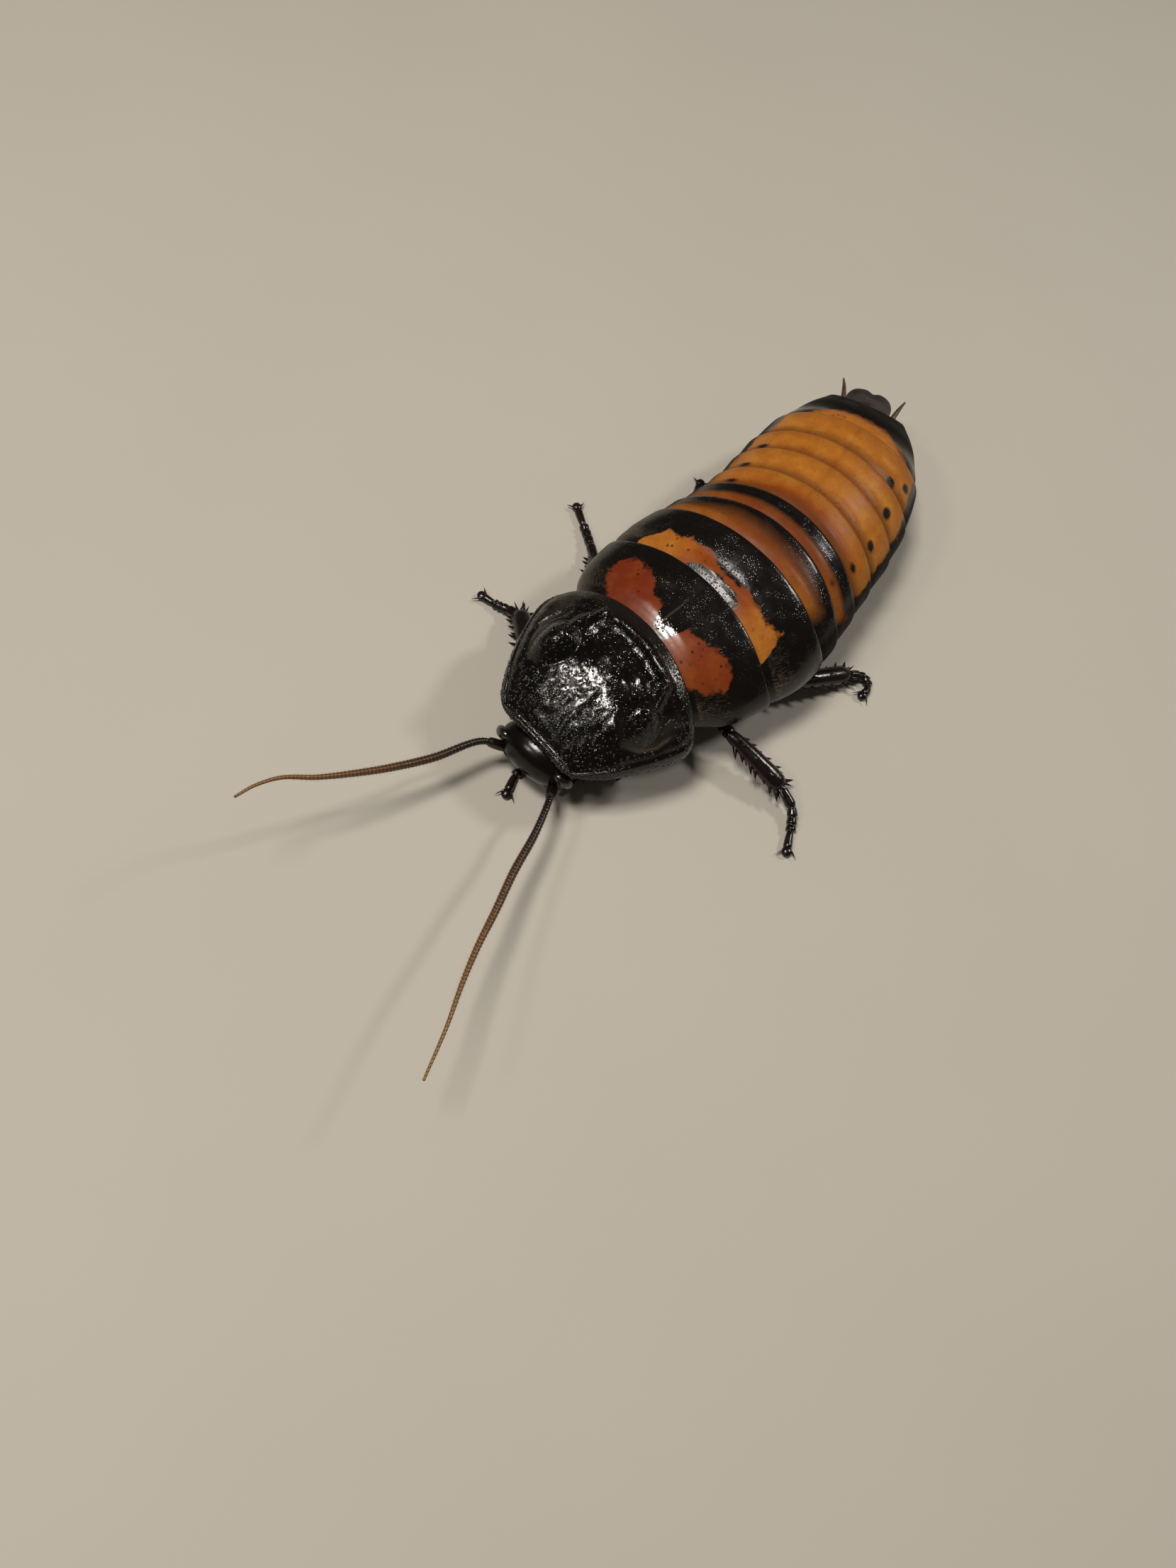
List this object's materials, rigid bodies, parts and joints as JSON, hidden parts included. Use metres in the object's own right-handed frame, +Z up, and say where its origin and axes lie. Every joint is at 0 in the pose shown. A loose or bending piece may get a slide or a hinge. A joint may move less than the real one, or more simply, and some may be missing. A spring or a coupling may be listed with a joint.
{
  "type": "madagascar hissing cockroach",
  "caption": "Life-size still model of an adult male hissing cockroach, standing, with horned shield, lapped body plates, thorned legs and long feelers.",
  "frame": {"origin": "on the floor under the middle of the box around the whole insect", "axes": "+Z up, the insect faces -Y, its left side is at +X"},
  "size_m": [0.0524, 0.1058, 0.0169],
  "materials": {
    "black_cuticle": "glossy black, pitted and beaded",
    "amber_cuticle": "satin amber with dark bands",
    "belly_cuticle": "satin dark brown",
    "leg_cuticle": "glossy black-brown",
    "feeler_cuticle": "fine brown rings",
    "eye": "glossy dark brown"
  },
  "bodies": {
    "root": {"antenna_left": "feeler_cuticle", "antenna_right": "feeler_cuticle", "cercus_left": "feeler_cuticle", "cercus_right": "feeler_cuticle", "eye_left": "eye", "eye_right": "eye", "front_left_coxa": "leg_cuticle", "front_left_femur": "leg_cuticle", "front_left_tarsus": "leg_cuticle", "front_left_tibia": "leg_cuticle", "front_right_coxa": "leg_cuticle", "front_right_femur": "leg_cuticle", "front_right_tarsus": "leg_cuticle", "front_right_tibia": "leg_cuticle", "head": "black_cuticle", "hind_left_coxa": "leg_cuticle", "hind_left_femur": "leg_cuticle", "hind_left_tarsus": "leg_cuticle", "hind_left_tibia": "leg_cuticle", "hind_right_coxa": "leg_cuticle", "hind_right_femur": "leg_cuticle", "hind_right_tarsus": "leg_cuticle", "hind_right_tibia": "leg_cuticle", "mesonotum": "black_cuticle", "mesosternum": "belly_cuticle", "metanotum": "black_cuticle", "metasternum": "belly_cuticle", "middle_left_coxa": "leg_cuticle", "middle_left_femur": "leg_cuticle", "middle_left_tarsus": "leg_cuticle", "middle_left_tibia": "leg_cuticle", "middle_right_coxa": "leg_cuticle", "middle_right_femur": "leg_cuticle", "middle_right_tarsus": "leg_cuticle", "middle_right_tibia": "leg_cuticle", "palp_left": "feeler_cuticle", "palp_right": "feeler_cuticle", "pronotum": "black_cuticle", "prothorax": "belly_cuticle", "sternite_1": "belly_cuticle", "sternite_2": "belly_cuticle", "sternite_3": "belly_cuticle", "sternite_4": "belly_cuticle", "sternite_5": "belly_cuticle", "subgenital_plate": "belly_cuticle", "supra_anal_plate": "black_cuticle", "tergite_1": "amber_cuticle", "tergite_2": "amber_cuticle", "tergite_3": "amber_cuticle", "tergite_4": "amber_cuticle", "tergite_5": "amber_cuticle", "tergite_6": "amber_cuticle", "tergite_7": "black_cuticle"}
  },
  "joints": []
}
